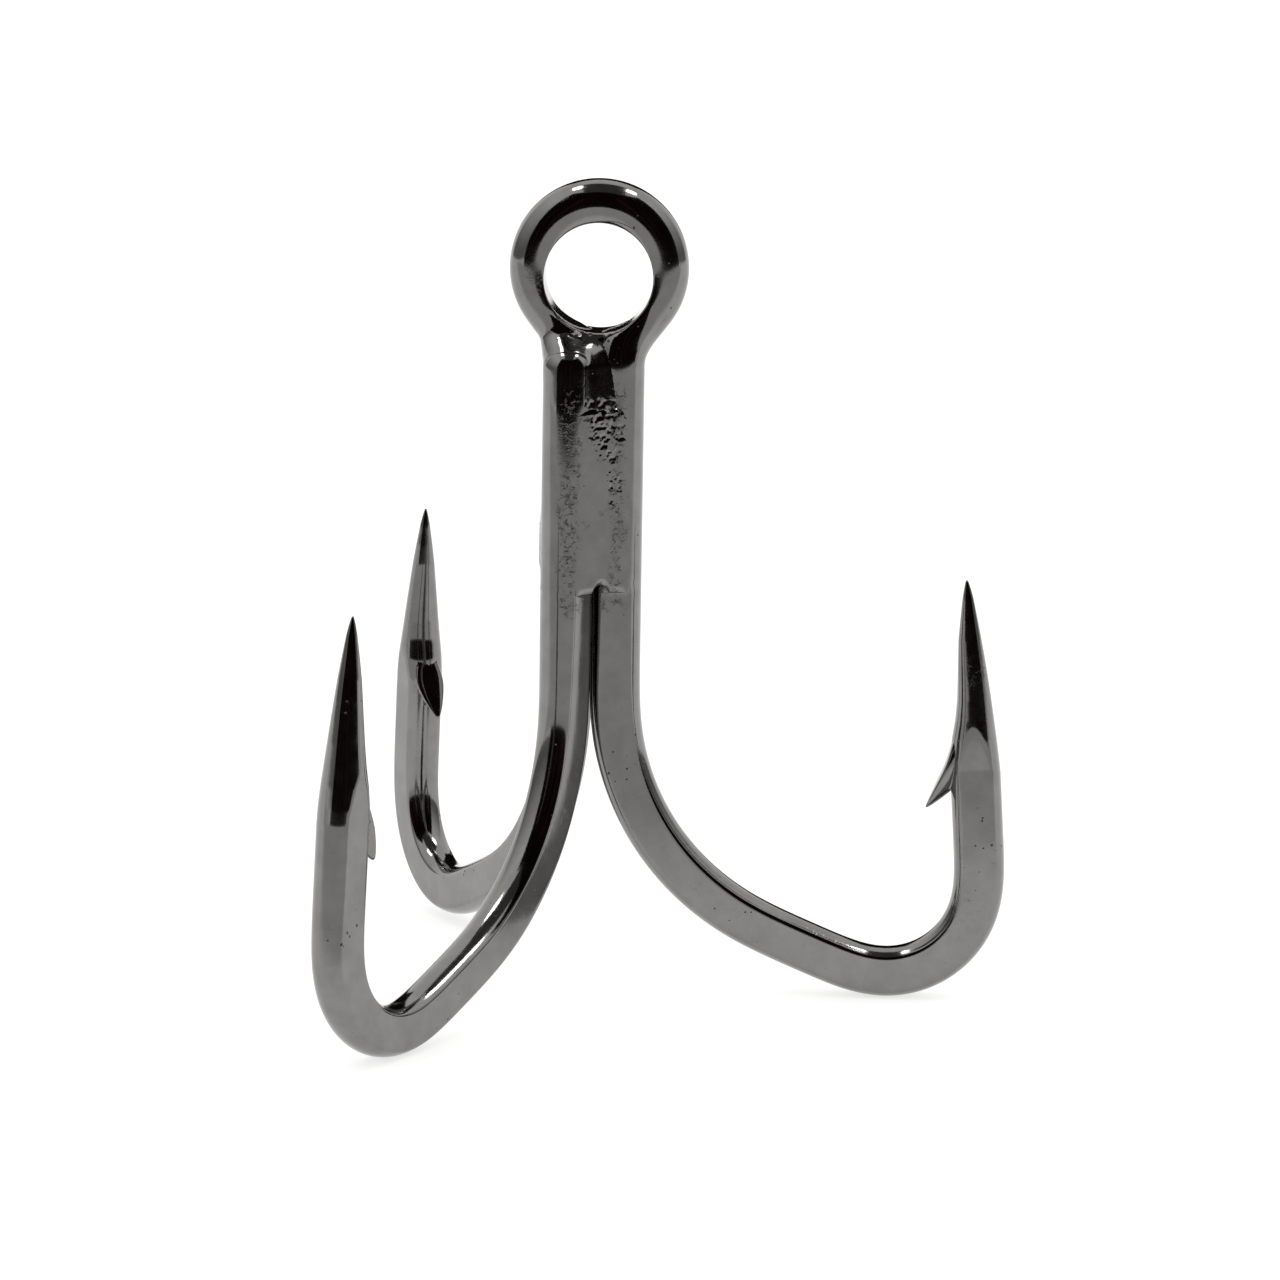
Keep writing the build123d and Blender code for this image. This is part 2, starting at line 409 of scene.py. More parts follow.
def section_angles(corners):
    """Angles of the points of each section, closer together beyond the corner where a flat starts."""
    quarter = AROUND // 4
    ramp = np.arange(quarter) / quarter
    split = 0.58            # share of the points before the corner
    angles = []
    for corner in corners:
        past = corner + (ramp - split) / (1 - split) * (math.pi / 2 - corner)
        q = np.where(ramp < split, ramp / split * corner, past)
        mirrored = math.pi - np.concatenate([[math.pi / 2], q[:0:-1]])
        half = np.concatenate([q, mirrored])
        angles.append(np.concatenate([half, half + math.pi]))
    return np.array(angles)


def bore_reach(centre, ways):
    """Distance from each centre to the bore's wall along each direction, or far if it is missed."""
    cxz = centre[:, None, ::2]
    dxz = ways[..., ::2]
    aa = np.maximum((dxz ** 2).sum(-1), 1e-9)
    bb = (cxz * dxz).sum(-1)
    cc = (cxz ** 2).sum(-1) - BORE_R ** 2
    disc = bb * bb - aa * cc
    hit = (-bb - np.sqrt(np.maximum(disc, 0))) / aa
    return np.where((disc > 0) & (hit > 0), hit, FAR)


def wire_rings(centre, gape, sideways, outer, inner, side, flat, near_bore):
    """Points round each station. The angle runs from the gape side to the plane's normal."""
    corner = np.arcsin(np.clip(flat / np.maximum(side, 1e-6), 0, math.sin(LAST_CORNER)))
    opened = np.clip((centre[:, 2] + NECK_DROP) / BORE_OPENS, 0, 1) if near_bore else np.zeros(len(centre))
    corner = corner * (1 - opened) + BORE_CORNER * opened
    a = section_angles(corner)
    cos, sin = np.cos(a), np.sin(a)
    across = np.where(cos > 0, inner[:, None], outer[:, None])
    radius = 1 / np.sqrt((cos / across) ** 2 + (sin / side[:, None]) ** 2)
    slab = flat[:, None] / np.maximum(np.abs(sin), 1e-6)
    radius = smooth_min(radius, slab, EDGE)
    ways = cos[..., None] * gape[:, None] + sin[..., None] * sideways[:, None]
    if near_bore:
        reach = bore_reach(centre, ways)
        radius = np.where(reach < radius + EDGE, smooth_min(radius, reach, BORE_EDGE), radius)
    return centre[:, None] + radius[..., None] * ways


def double_wire():
    """Rear hook, left arm, ring, right arm and first hook, as one closed tube."""
    normal = np.array([0, -1.0, 0])
    turns = np.radians(np.linspace(180 + RING_LEAVE, -RING_LEAVE, RING_STATIONS))
    ring = np.stack([RING_R * np.cos(turns), 0 * turns, RING_Z + RING_R * np.sin(turns)], -1)
    ring_out = np.stack([np.cos(turns), 0 * turns, np.sin(turns)], -1)
    arm_r, way_r = RIGHT_ARM
    arm_l, way_l = LEFT_ARM[0][::-1], -LEFT_ARM[1][::-1]
    out_r = np.cross(normal, way_r)
    out_r /= np.linalg.norm(out_r, axis=1)[:, None]
    twist = smooth_step(0, 1, np.linspace(0, 1, len(arm_l)))
    turn = math.radians(-90) - (math.pi - AZ_REAR) * (1 - twist)
    normal_l = np.stack([np.cos(turn), np.sin(turn), 0 * turn], -1)
    normal_l -= (normal_l * way_l).sum(1)[:, None] * way_l
    normal_l /= np.linalg.norm(normal_l, axis=1)[:, None]
    out_l = np.cross(normal_l, way_l)
    rear, rear_gape, rear_tip, rear_height = (v[::-1] for v in REAR)
    rear_normal = np.tile([-math.sin(AZ_REAR), math.cos(AZ_REAR), 0], (len(rear), 1))
    first, first_gape, first_tip, first_height = (v[1:] for v in FIRST)
    first_normal = np.tile(normal, (len(first), 1))

    parts = [wire_rings(rear, rear_gape, rear_normal, *hook_sections(rear_tip, rear_height), False)]
    for c, out, n in ((arm_l[1:], out_l[1:], normal_l[1:]),
                      (ring[1:], ring_out[1:], np.tile(normal, (len(ring) - 1, 1))),
                      (arm_r[1:], out_r[1:], np.tile(normal, (len(arm_r) - 1, 1)))):
        width = np.full(len(c), WIRE_R)
        parts.append(wire_rings(c, out, n, width, width, width, np.full(len(c), ROUND), True))
    parts.append(wire_rings(first, first_gape, first_normal, *hook_sections(first_tip, first_height), False))
    return np.concatenate(parts)


def single_wire():
    """The third hook. Its shank leans back at the top and ends in a rounded stub."""
    centre, gape, from_tip, height = FRONT
    normal = np.tile([math.sin(AZ_FRONT), -math.cos(AZ_FRONT), 0], (len(centre), 1))
    outer, inner, side, flat = hook_sections(from_tip, height)
    dome = np.radians(np.linspace(DOME_FROM, 90, DOME_STATIONS))[:-1]
    shoulder = STUB_TOP - STUB_ROUNDING
    below = height < shoulder
    base = centre[0] * [1, 1, 0]
    top = np.array([base + [0, 0, GROUND + shoulder + STUB_ROUNDING * math.cos(a)] for a in dome])
    shrink = WIRE_R - STUB_ROUNDING + STUB_ROUNDING * np.sin(dome)
    centre = np.concatenate([top, centre[below]])
    height = np.concatenate([top[:, 2] - GROUND, height[below]])
    centre[:, 1] += leaning(height) * LEAN
    gape = np.concatenate([np.tile(gape[0], (len(top), 1)), gape[below]])
    normal = np.concatenate([np.tile(normal[0], (len(top), 1)), normal[below]])
    outer, inner, side = (np.concatenate([shrink, w[below]]) for w in (outer, inner, side))
    flat = np.concatenate([shrink * UNCUT, flat[below]])
    return wire_rings(centre, gape, normal, outer, inner, side, flat, False)


def barb(name, path, azimuth, lower=0.0, length=1.0):
    """A sliver raised from the gape side of a leg, with its own place and share of the full length."""
    centre, gape = path[:2]
    tip_way = centre[-1] - centre[-20]
    tip_way /= np.linalg.norm(tip_way)
    normal = np.array([math.sin(azimuth), -math.cos(azimuth), 0])
    tip = centre[-1] - tip_way * lower
    section = BARB_SECTION + tuple((way, -side) for way, side in BARB_SECTION[:0:-1])
    end = BARB_CREST[-1][0]
    verts = []
    for (crest, crest_up), (under, under_up), width in zip(BARB_CREST, BARB_UNDER, BARB_WIDTHS):
        for way, side in section:
            distance = end + (crest + (under - crest) * way - end) * length
            up = crest_up + (under_up - crest_up) * way
            verts.append(tip - tip_way * distance + gape[-1] * up + normal * (side * width))
    piece = new_piece(name, verts, tube_faces(len(BARB_CREST), len(section)))
    smooth = piece.modifiers.new("smooth", "SUBSURF")
    smooth.levels = smooth.render_levels = 1
    bake_modifiers(piece)
    outward(piece)
    return piece


def wire(name, rings, *barbs):
    """Closed wire from its rings of points, with its barbs welded on."""
    piece = new_piece(name, rings.reshape(-1, 3), tube_faces(len(rings), AROUND))
    outward(piece)
    weld(piece, *barbs)
    return piece


# ---- brazing metal ----
def seam_face(u, pitch, roughness, seed, bulge, share):
    """Heights and depths of the points across a seam's face, at a share of the way up it."""
    low = SEAM_BOTTOM + MENISCUS * (1 - np.minimum((u / MENISCUS_HALF) ** 2, 1))
    z = low + share * (SEAM_END - low)
    spot = np.stack([u, np.full_like(u, seed), z], -1)
    belly = np.clip(1 - (u / pitch) ** 2, 0, 1)
    wave = SEAM_HOLLOW + layered_noise(spot, SEAM_WAVES, seed)
    rolled = ROLLED_DEPTH * np.clip(1 - (z - low) / ROLLED_HEIGHT, 0, 1) ** 2 * belly
    v = WIRE_R - belly ** 1.5 * wave - rolled
    pits = layered_noise(spot, SEAM_PITS, seed + 2)
    v = v - belly ** 0.5 * roughness(u, z) * np.clip(pits + 0.1, 0, 1.6) * SEAM_PIT_DEPTH
    beyond = np.maximum(np.abs(u) - pitch, 0)
    sunk = SEAM_SINK_DEPTH * smooth_step(SEAM_SINKS, SEAM_END, z)
    v = v - SEAM_CURL * beyond ** 2 - sunk + bulge * belly * hump(z, SWELL)
    return z, v


def seam(name, az_a, az_b, roughness, seed, bulge=0.0):
    """Metal in the groove between two shanks. Its face runs tangent to both and leans with the stub."""
    a, b = wire_centre(az_a), wire_centre(az_b)
    leaning_side = (az_b == AZ_FRONT) - (az_a == AZ_FRONT)
    middle = (a + b) / 2
    pitch = np.linalg.norm(b - a) / 2
    along = (b - a) / (2 * pitch)
    out = middle - np.array([SHANK_X, SHANK_Y])
    out /= np.linalg.norm(out)
    face_u = np.linspace(-pitch - SEAM_OVERLAP, pitch + SEAM_OVERLAP, SEAM_ACROSS)
    hidden = WIRE_R - SEAM_BURIED
    arc = np.radians(np.linspace(*SEAM_BACK))
    right = np.stack([pitch - hidden * np.cos(arc), hidden * np.sin(arc)], -1)
    back = np.concatenate([right, right[::-1] * [-1, 1]])
    u = np.concatenate([face_u, back[:, 0]])
    nearness = np.clip(0.5 + leaning_side * u / (2 * pitch), 0, 1) * abs(leaning_side)
    back_low = SEAM_BOTTOM + MENISCUS
    verts = []
    for share in np.linspace(0, 1, SEAM_STATIONS):
        face_z, face_v = seam_face(face_u, pitch, roughness, seed, bulge, share)
        z = np.concatenate([face_z, np.full(len(back), back_low + share * (SEAM_END - back_low))])
        v = np.concatenate([face_v, back[:, 1]])
        xy = middle + u[:, None] * along + v[:, None] * out
        xy[:, 1] += nearness * leaning(z) * LEAN
        verts.append(np.concatenate([xy, (z + GROUND)[:, None]], 1))
    piece = new_piece(name, np.concatenate(verts), tube_faces(SEAM_STATIONS, len(u)))
    outward(piece)
    return piece


def front_roughness(u, z):
    """A rough patch at the top of the front seam and a smaller one below it."""
    patch = blotch(u, z, *ROUGH_PATCH)
    speck = 0.5 * blotch(u, z, *ROUGH_SPECK)
    return np.maximum(patch, speck) + 0.06


def plain_roughness(u, z):
    """Faint pits in scattered places."""
    return 0.35 * smooth_step(0.2, 0.8, lattice_noise(np.stack([u, 0 * u + 5, z], -1), 2.6, 77)) + 0.05


def segment_distance(p, a, b):
    ab = b - a
    t = np.clip(((p - a) @ ab) / (ab @ ab), 0, 1)
    return np.linalg.norm(p - a - t[..., None] * ab, axis=-1)


def path_distance(p, path):
    best = np.full(p.shape[:-1], 1e9)
    for a, b in zip(path[:-1], path[1:]):
        best = np.minimum(best, segment_distance(p, a, b))
    return best


def triangle_distance(x, y, corners):
    """Signed distance in a level plane to a triangle whose corners move with height."""
    inside = np.full(x.shape, -1e9)
    edge = np.full(x.shape, 1e9)
    area = ((corners[1][0] - corners[0][0]) * (corners[2][1] - corners[0][1])
            - (corners[1][1] - corners[0][1]) * (corners[2][0] - corners[0][0]))
    turn = np.sign(area)
    for k in range(3):
        (ax, ay), (bx, by) = corners[k], corners[(k + 1) % 3]
        ex, ey = bx - ax, by - ay
        length = np.hypot(ex, ey)
        t = np.clip(((x - ax) * ex + (y - ay) * ey) / length ** 2, 0, 1)
        edge = np.minimum(edge, np.hypot(x - ax - t * ex, y - ay - t * ey))
        inside = np.maximum(inside, -turn * ((y - ay) * ex - (x - ax) * ey) / length)
    return np.where(inside < 0, inside, edge)


def prism(x, y, corners):
    """Filler between three wires: its faces lie just inside the planes that touch two of them."""
    return triangle_distance(x, y, corners) - (WIRE_R - PRISM_INSET)


def wire_fields(p, right, left):
    """Distances at points of the neck to the two arms, the whole ring and the stub."""
    x, y, z = p[..., 0], p[..., 1], p[..., 2]
    height = z - GROUND
    d_right = path_distance(p, right[::2]) - WIRE_R
    d_left = path_distance(p, left[::2]) - WIRE_R
    ring = np.hypot(np.hypot(x, z - RING_Z) - RING_R, y) - WIRE_R
    base = wire_centre(AZ_FRONT)
    flat_r = np.hypot(x - base[0], y - base[1] - leaning(height) * LEAN)
    qx = flat_r - (WIRE_R - STUB_ROUNDING)
    qz = height - (STUB_TOP - STUB_ROUNDING)
    stub = np.hypot(np.maximum(qx, 0), np.maximum(qz, 0)) + np.minimum(np.maximum(qx, qz), 0) - STUB_ROUNDING
    return d_right, d_left, ring, stub


def neck_fields(p):
    """Distance fields at points of the neck: the bare wires, and wires and filler run together."""
    x, y, z = p[..., 0], p[..., 1], p[..., 2]
    height = z - GROUND
    right = np.concatenate([RIGHT_ARM[0], FIRST[0][1:NECK_STATIONS]])
    left = np.concatenate([LEFT_ARM[0], REAR[0][1:NECK_STATIONS]])
    d_right, d_left, ring, stub = wire_fields(p, right, left)
    below_arms = np.arctan2(RING_Z - z, np.abs(x)) > math.radians(RING_LEAVE)
    wires = np.minimum(np.minimum(d_right, d_left), stub)
    wires = np.where(below_arms, wires, np.minimum(wires, ring))

    def at(path):
        order = np.argsort(path[:, 2])
        return [np.interp(z, path[order, 2], path[order, k]) for k in (0, 1)]

    base = wire_centre(AZ_FRONT)
    ease = leaning(height)
    retreat = RETREAT * np.maximum(height - RETREAT_FROM, 0) ** RETREAT_POWER
    front = [base[0], base[1] + ease * LEAN + retreat]
    right_x, right_y = at(right)
    upright = [front, [right_x, right_y], at(left)]
    turned = [front, [right_x, right_y + ease * FACE_LEAN], at(left)]
    filler = smooth_max(prism(x, y, turned), prism(x, y, upright), PRISM_BLEND)
    lid = height - (LID - LID_FALL * np.maximum(-y - LID_LEVEL, 0))
    filler = smooth_max(filler, lid, LID_BLEND)
    bridge = segment_distance(p, BRIDGE_BACK, BRIDGE_FRONT) - BRIDGE_R
    filler = smooth_min(filler, bridge, BRIDGE_BLEND)
    arms = smooth_min(np.minimum(d_right, d_left), filler, ARM_BLEND)
    blend = smooth_min(arms, smooth_min(ring, filler, RING_BLEND), ARM_TO_RING)
    fillet = FILLET + FILLET_MORE * smooth_step(FILLET_FROM, FILLET_FULL, height)
    blend = smooth_min(blend, stub, fillet)
    bore = BORE_R - np.hypot(x, z)
    return np.maximum(wires, bore), smooth_max(blend, bore, BORE_BLEND)


def net(field, low, step):
    """Surface net of the zero level of a field sampled on a grid: vertices and quads."""
    sign = field < 0
    nx, ny, nz = field.shape
    total = np.zeros((nx - 1, ny - 1, nz - 1, 3))
    count = np.zeros((nx - 1, ny - 1, nz - 1))
    quads = []
    for axis in range(3):
        lo = [slice(None)] * 3
        hi = [slice(None)] * 3
        lo[axis] = slice(0, -1)
        hi[axis] = slice(1, None)
        f0, f1 = field[tuple(lo)], field[tuple(hi)]
        cross = sign[tuple(lo)] != sign[tuple(hi)]
        t = np.where(cross, f0 / np.where(cross, f0 - f1, 1), 0)
        where = np.stack(np.nonzero(cross), -1)
        point = where.astype(float)
        point[:, axis] += t[cross]
        others = [k for k in range(3) if k != axis]
        cells = []          # the four cells round each crossed edge of the grid
        for d0, d1 in ((0, 0), (-1, 0), (-1, -1), (0, -1)):
            c = where.copy()
            c[:, others[0]] += d0
            c[:, others[1]] += d1
            cells.append(c)
        ok = np.ones(len(where), bool)
        for c in cells:
            ok &= (c >= 0).all(1) & (c < [nx - 1, ny - 1, nz - 1]).all(1)
        for c in cells:
            i = tuple(c[ok].T)
            np.add.at(total, i, point[ok])
            np.add.at(count, i, 1)
        flip = sign[tuple(lo)][cross][ok] == (axis != 1)
        stack = np.stack([np.ravel_multi_index(c[ok].T, count.shape) for c in cells], -1)
        stack[flip] = stack[flip][:, ::-1]
        quads.append(stack)
    used = count.ravel() > 0
    index = np.cumsum(used) - 1
    verts = low + step * (total.reshape(-1, 3)[used] / count.ravel()[used][:, None])
    return verts, index[np.concatenate(quads)]


def saddle():
    """Brazing metal that fills the neck between the arms and the stub, up to the bore."""
    counts = np.ceil((SADDLE_HIGH - SADDLE_LOW) / SADDLE_STEP).astype(int)
    axes = [SADDLE_LOW[k] + SADDLE_STEP * np.arange(counts[k]) for k in range(3)]
    p = np.stack(np.meshgrid(*axes, indexing="ij"), -1)
    x, y, z = p[..., 0], p[..., 1], p[..., 2]
    wires, blend = neck_fields(p)
    proud = wires - blend
    right_pits = 1.6 * blotch(x, z, *RIGHT_PITS)
    left_pits = smooth_step(*LIP, y) * blotch(x, z, *LEFT_PITS)
    fringe = 0.7 * smooth_step(0.7, 0.2, np.abs(z - GROUND - FRINGE))
    rough = layered_noise(p, SADDLE_PITS, 5)
    places = np.maximum(np.maximum(right_pits, left_pits), fringe)
    pits = np.clip(rough - 0.1, 0, 1) * places * SADDLE_PIT_DEPTH
    hollow = -(wires + SADDLE_SHELL)
    floor = SADDLE_LOW[2] + SADDLE_FLOOR - z
    field = np.maximum(np.maximum(blend + pits, hollow), np.maximum((PROUD - proud) * PROUD_STEEPNESS, floor))
    piece = new_piece("saddle", *net(field, SADDLE_LOW, SADDLE_STEP))
    keep_largest(piece)
    outward(piece)
    return piece


# ---- materials ----
MIX_FACTOR, MIX_A, MIX_B = 0, 6, 7      # the colour sockets of a mix node
MIX_RESULT = 2
DIRT = (0.045, 0.038, 0.032)


def plated(name, tint, gloss, pit_amount, seed):
    """Black nickel over steel: a dark mirror with faint mottling, fine scratches, specks and pits."""
    mat = bpy.data.materials.new(name)
    mat.use_nodes = True
    nodes, links = mat.node_tree.nodes, mat.node_tree.links
    shader = nodes["Principled BSDF"]
    shader.inputs["Metallic"].default_value = 1.0
    where = nodes.new("ShaderNodeTexCoord")

    def texture(kind, scale, stretch=(1, 1, 1), **settings):
        mapping = nodes.new("ShaderNodeMapping")
        mapping.inputs["Location"].default_value = (seed, seed * 0.37, seed * 0.71)
        mapping.inputs["Scale"].default_value = [scale * k for k in stretch]
        links.new(where.outputs["Object"], mapping.inputs["Vector"])
        node = nodes.new(kind)
        links.new(mapping.outputs["Vector"], node.inputs["Vector"])
        node.inputs["Scale"].default_value = 1.0
        for key, value in settings.items():
            node.inputs[key].default_value = value
        return node

    def ramp(source, low, high, to_low, to_high):
        node = nodes.new("ShaderNodeMapRange")
        node.interpolation_type = "SMOOTHSTEP"
        links.new(source, node.inputs["Value"])
        for key, value in (("From Min", low), ("From Max", high), ("To Min", to_low), ("To Max", to_high)):
            node.inputs[key].default_value = value
        return node.outputs["Result"]

    def maths(kind, a, b):
        node = nodes.new("ShaderNodeMath")
        node.operation = kind
        for socket, value in zip(node.inputs, (a, b)):
            if isinstance(value, float):
                socket.default_value = value
            else:
                links.new(value, socket)
        return node.outputs[0]

    def mix(factor, a, b):
        node = nodes.new("ShaderNodeMix")
        node.data_type = "RGBA"
        links.new(factor, node.inputs[MIX_FACTOR])
        for socket, value in ((node.inputs[MIX_A], a), (node.inputs[MIX_B], b)):
            if isinstance(value, tuple):
                socket.default_value = (*value, 1)
            else:
                links.new(value, socket)
        return node.outputs[MIX_RESULT]

    mottle = texture("ShaderNodeTexNoise", 700, Detail=4.0, Roughness=0.6).outputs["Fac"]
    grain = texture("ShaderNodeTexNoise", 2900, Detail=4.0, Roughness=0.7, Distortion=0.6).outputs["Fac"]
    scratch = texture("ShaderNodeTexNoise", 2600, stretch=(3, 3, 0.22), Detail=2.0).outputs["Fac"]
    zone = texture("ShaderNodeTexNoise", 330, Detail=2.0).outputs["Fac"]
    speck = texture("ShaderNodeTexVoronoi", 1700, Randomness=1.0).outputs["Distance"]
    speck_size = ramp(zone, 0.52, 0.75, 0.035, 0.17)
    specks = ramp(maths("SUBTRACT", speck, speck_size), -0.03, 0.02, 1.0, 0.0)
    worn = nodes.new("ShaderNodeAttribute")
    worn.attribute_name = "worn"
    pits = maths("MULTIPLY", ramp(grain, 0.52, 0.66, 0.0, 1.0), worn.outputs["Fac"])
    pits = maths("MULTIPLY", pits, maths("ADD", pit_amount, mottle))
    smudge = maths("MULTIPLY", worn.outputs["Fac"], ramp(mottle, 0.42, 0.62, 0.0, 0.42))
    flaws = maths("MAXIMUM", specks, pits)

    darker = tuple(c * 0.93 for c in tint)
    lighter = tuple(c * 1.07 for c in tint)
    colour = mix(ramp(mottle, 0.3, 0.7, 0.0, 1.0), darker, lighter)
    colour = mix(maths("MAXIMUM", maths("MULTIPLY", flaws, 0.85), smudge), colour, DIRT)
    links.new(colour, shader.inputs["Base Color"])

    rough = ramp(mottle, 0.3, 0.75, gloss, gloss + 0.05)
    rough = maths("ADD", rough, maths("MULTIPLY", flaws, 0.22))
    links.new(rough, shader.inputs["Roughness"])

    height = maths("ADD", maths("MULTIPLY", flaws, -1.0), maths("MULTIPLY", grain, 0.06))
    height = maths("ADD", height, maths("MULTIPLY", scratch, 0.1))
    bump = nodes.new("ShaderNodeBump")
    bump.inputs["Strength"].default_value = 0.5
    bump.inputs["Distance"].default_value = 0.03 * MM
    links.new(height, bump.inputs["Height"])
    links.new(bump.outputs["Normal"], shader.inputs["Normal"])
    return mat


def paint(obj, mat):
    obj.data.materials.clear()
    obj.data.materials.append(mat)


def mark_worn(obj):
    """Stores on each vertex how pitted the plating is: most beside the seams of the stem."""
    mesh = obj.data
    p = np.empty(len(mesh.vertices) * 3)
    mesh.vertices.foreach_get("co", p)
    p = p.reshape(-1, 3) / MM
    height = p[:, 2] - GROUND
    on_stem = hump(height, WORN_STEM)
    bearing = np.degrees(np.arctan2(p[:, 1] - SHANK_Y, p[:, 0] - SHANK_X)) % 360
    wobble = layered_noise(p, WORN_WOBBLE, 91)
    patchy = 0.7 + 0.45 * lattice_noise(p, 1.7, 93)
    worn = np.zeros(len(p))
    for middle, wide in WORN_BANDS:
        away = np.abs((bearing - middle + 180) % 360 - 180)
        worn = np.maximum(worn, patchy * smooth_step(wide * 1.6, wide * 0.4, away * (1 + wobble)))
    faint = 0.12 * smooth_step(0.25, 0.7, lattice_noise(p, 2.4, 17))
    layer = mesh.attributes.new("worn", "FLOAT", "POINT")
    layer.data.foreach_set("value", np.maximum(worn * on_stem, faint))


# ---- studio, in millimetres and degrees ----
FLOOR_Z, TABLE_Z = GROUND - 0.02, GROUND + 0.05
FLOOR_EDGE = -340.0         # front edge of the floor
FLOOR_SIDE, FLOOR_BACK = 3000.0, 4000.0
TENT_R = 900.0
STREAK_R = 860.0
CEILING_Z = 760.0
LAMP_Z = 740.0
STREAKS = ((-14, 1.6, 2, 34), (9, 2.2, -4, 40), (24, 1.2, 8, 30), (-31, 1.5, 0, 26))

CAM_AZ, CAM_EL, CAM_DISTANCE = 2.086, 11.445, 331.3
CAM_TARGET = (2.92, -0.9, -22.9)
CAM_ROLL = 0.897
CAM_SENSOR, CAM_LENS = 36.0, 148.0


def stage_mesh(name, verts, faces, mat):
    mesh = bpy.data.meshes.new(name)
    mesh.from_pydata([tuple(c * MM for c in v) for v in verts], [], faces)
    mesh.materials.append(mat)
    obj = bpy.data.objects.new(name, mesh)
    bpy.context.scene.collection.objects.link(obj)
    return obj


def glow(name, colour, strength):
    mat = bpy.data.materials.new(name)
    mat.use_nodes = True
    nodes = mat.node_tree.nodes
    nodes.clear()
    out = nodes.new("ShaderNodeOutputMaterial")
    light = nodes.new("ShaderNodeEmission")
    light.inputs["Color"].default_value = (*colour, 1)
    light.inputs["Strength"].default_value = strength
    mat.node_tree.links.new(light.outputs[0], out.inputs["Surface"])
    return mat


def graded_glow(name, colour, axis, start, end, dim, bright):
    """Glow that changes from dim to bright along an axis of its panel."""
    mat = glow(name, colour, bright)
    nodes, links = mat.node_tree.nodes, mat.node_tree.links
    where = nodes.new("ShaderNodeTexCoord")
    split = nodes.new("ShaderNodeSeparateXYZ")
    rise = nodes.new("ShaderNodeMapRange")
    links.new(where.outputs["Object"], split.inputs[0])
    links.new(split.outputs[axis], rise.inputs["Value"])
    for key, value in (("From Min", start * MM), ("From Max", end * MM), ("To Min", dim), ("To Max", bright)):
        rise.inputs[key].default_value = value
    links.new(rise.outputs[0], nodes["Emission"].inputs["Strength"])
    return mat


def seen_only_in_metal(panel):
    """The panel shows in reflections and neither lights, shades nor hides anything else."""
    for kind in ("camera", "diffuse", "shadow", "transmission", "volume_scatter"):
        setattr(panel, "visible_" + kind, False)


def tent_panel(name, azimuths, elevations, mat, radius=TENT_R, steps=16):
    """Piece of a sphere round the hook. Azimuth 0 is the front."""
    verts, faces = [], []
    for az in np.radians(np.linspace(*azimuths, steps + 1)):
        for el in np.radians(np.linspace(*elevations, steps + 1)):
            level = radius * math.cos(el)
            verts.append((level * math.sin(az), -level * math.cos(az), radius * math.sin(el)))
    for i in range(steps):
        for j in range(steps):
            k = i * (steps + 1) + j
            faces.append((k, k + 1, k + steps + 2, k + steps + 1))
    seen_only_in_metal(stage_mesh(name, verts, faces, mat))


def level_panel(name, xs, ys, z, mat):
    (x0, x1), (y0, y1) = xs, ys
    return stage_mesh(name, [(x0, y0, z), (x1, y0, z), (x1, y1, z), (x0, y1, z)], [(0, 1, 2, 3)], mat)


def floor_paper():
    mat = bpy.data.materials.new("floor_white")
    mat.use_nodes = True
    paper = mat.node_tree.nodes["Principled BSDF"]
    paper.inputs["Base Color"].default_value = (0.45, 0.45, 0.45, 1)
    paper.inputs["Roughness"].default_value = 0.9
    paper.inputs["Specular IOR Level"].default_value = 0.0
    paper.inputs["Emission Color"].default_value = (1, 1, 1, 1)
    paper.inputs["Emission Strength"].default_value = 0.68
    return mat


def studio():
    """Pale floor in a white tent with a dark opening in front and behind, two lamps and a ceiling."""
    level_panel("floor", (-FLOOR_SIDE, FLOOR_SIDE), (FLOOR_EDGE, FLOOR_BACK), FLOOR_Z, floor_paper())
    table = graded_glow("table_dim", (1, 1, 0.99), "Y", -55, -27, 0.74, 1.15)
    seen_only_in_metal(level_panel("table", (-900, 900), (FLOOR_EDGE, -26), TABLE_Z, table))

    black = glow("opening_dark", (0.009, 0.0055, 0.0045), 1.0)
    dim = graded_glow("side_dim", (1, 1, 0.98), "Z", 100, 700, 0.28, 1.2)
    tent_panel("opening_front", (-52, 76), (-14, 61), black)
    tent_panel("opening_back", (160, 200), (-1, 38), black)
    tent_panel("side_left", (-125, -52), (-1, 52), dim)
    tent_panel("side_right", (76, 125), (-1, 52), dim)
    ceiling = glow("ceiling_dim", (1, 0.98, 0.97), 0.09)
    seen_only_in_metal(level_panel("ceiling", (-215, 250), (-430, 260), CEILING_Z, ceiling))
    brown = glow("streak_brown", (0.30, 0.11, 0.05), 0.2)
    for k, (az, wide, low, high) in enumerate(STREAKS):
        tent_panel(f"streak_{k}", (az, az + wide), (low, high), brown, STREAK_R, 4)
    lamp = glow("lamp_white", (1.0, 0.98, 0.96), 14.0)
    for name, xs in (("lamp_left", (-320, -215)), ("lamp_right", (250, 360))):
        seen_only_in_metal(level_panel(name, xs, (-20, 200), LAMP_Z, lamp))

    world = bpy.context.scene.world or bpy.data.worlds.new("world")
    bpy.context.scene.world = world
    world.use_nodes = True
    sky = world.node_tree.nodes["Background"]
    sky.inputs["Color"].default_value = (1.0, 1.0, 0.985, 1)
    sky.inputs["Strength"].default_value = 1.1


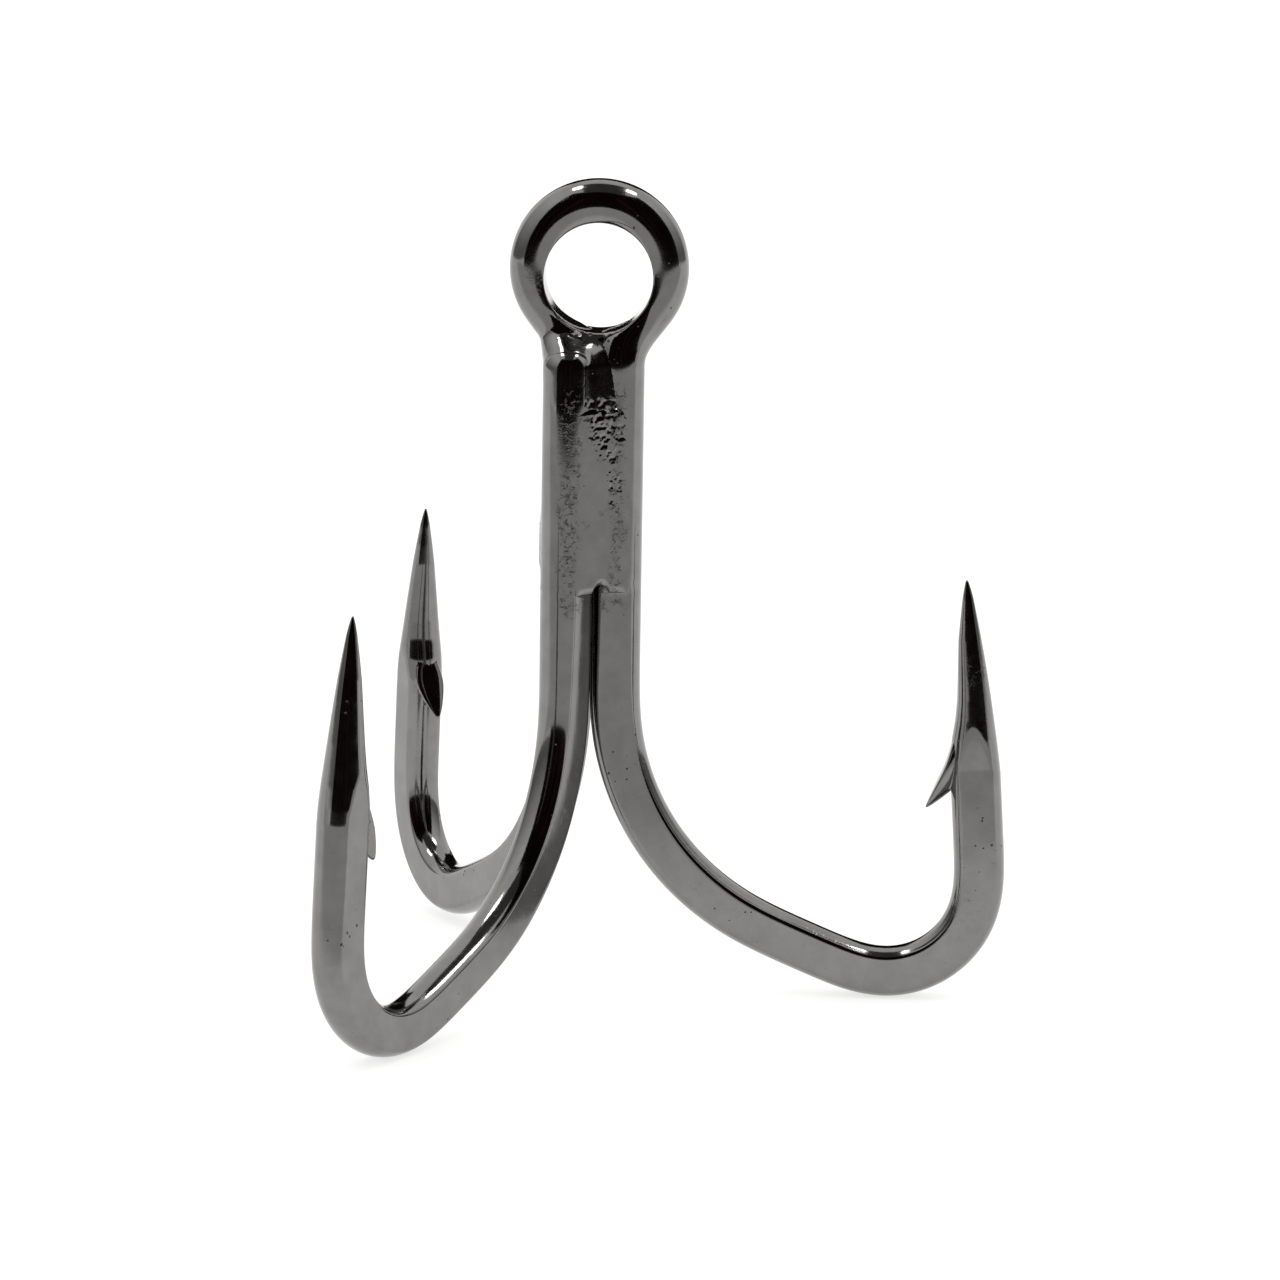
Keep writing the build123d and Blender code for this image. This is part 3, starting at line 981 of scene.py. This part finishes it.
def camera():
    az, el = math.radians(CAM_AZ), math.radians(CAM_EL)
    back = Vector((math.sin(az) * math.cos(el), -math.cos(az) * math.cos(el), math.sin(el)))
    right = (-back).cross(Vector((0, 0, 1))).normalized()
    up = right.cross(-back)
    roll = math.radians(CAM_ROLL)
    rolled_right = right * math.cos(roll) + up * math.sin(roll)
    rolled_up = up * math.cos(roll) - right * math.sin(roll)
    spot = (Vector(CAM_TARGET) + back * CAM_DISTANCE) * MM
    data = bpy.data.cameras.new("camera")
    data.sensor_width = CAM_SENSOR
    data.lens = CAM_LENS
    data.clip_start = 0.01
    obj = bpy.data.objects.new("camera", data)
    turned = Matrix((rolled_right, rolled_up, back)).transposed().to_4x4()
    obj.matrix_world = Matrix.Translation(spot) @ turned
    bpy.context.scene.collection.objects.link(obj)
    bpy.context.scene.camera = obj


# ---- the hook ----
bpy.context.scene.view_settings.view_transform = "Standard"
wire_metal = plated("wire_black_nickel", (0.206, 0.202, 0.198), 0.08, 0.5, 3.1)
braze_metal = plated("braze_black_nickel", (0.21, 0.205, 0.2), 0.085, 0.6, 11.7)

first_barb = barb("first_barb", FIRST, AZ_FIRST)
rear_barb = barb("rear_barb", REAR, AZ_REAR, REAR_BARB_LOWER, REAR_BARB_LENGTH)
front_barb = barb("front_barb", FRONT, AZ_FRONT, FRONT_BARB_LOWER)
double = wire("double_wire", double_wire(), first_barb, rear_barb)
single = wire("single_wire", single_wire(), front_barb)
seam_front = seam("seam_front", AZ_FRONT, AZ_FIRST, front_roughness, 11)
seam_left = seam("seam_left", AZ_REAR, AZ_FRONT, plain_roughness, 23, 0.3)
seam_rear = seam("seam_rear", AZ_FIRST, AZ_REAR, plain_roughness, 37)
eye_saddle = saddle()

for piece, node, metal, slot in (
    (double, "double_hook_wire", wire_metal, "wire_plating"),
    (single, "single_hook_wire", wire_metal, "wire_plating"),
    (seam_front, "braze_seam_front", braze_metal, "braze_plating"),
    (seam_left, "braze_seam_left", braze_metal, "braze_plating"),
    (seam_rear, "braze_seam_rear", braze_metal, "braze_plating"),
    (eye_saddle, "braze_eye_saddle", braze_metal, "braze_plating"),
):
    paint(piece, metal)
    mark_worn(piece)
    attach(piece, "root")
    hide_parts(node)

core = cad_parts["braze_core"]
for material_slot in core.material_slots:
    material_slot.material = braze_metal

studio()
camera()
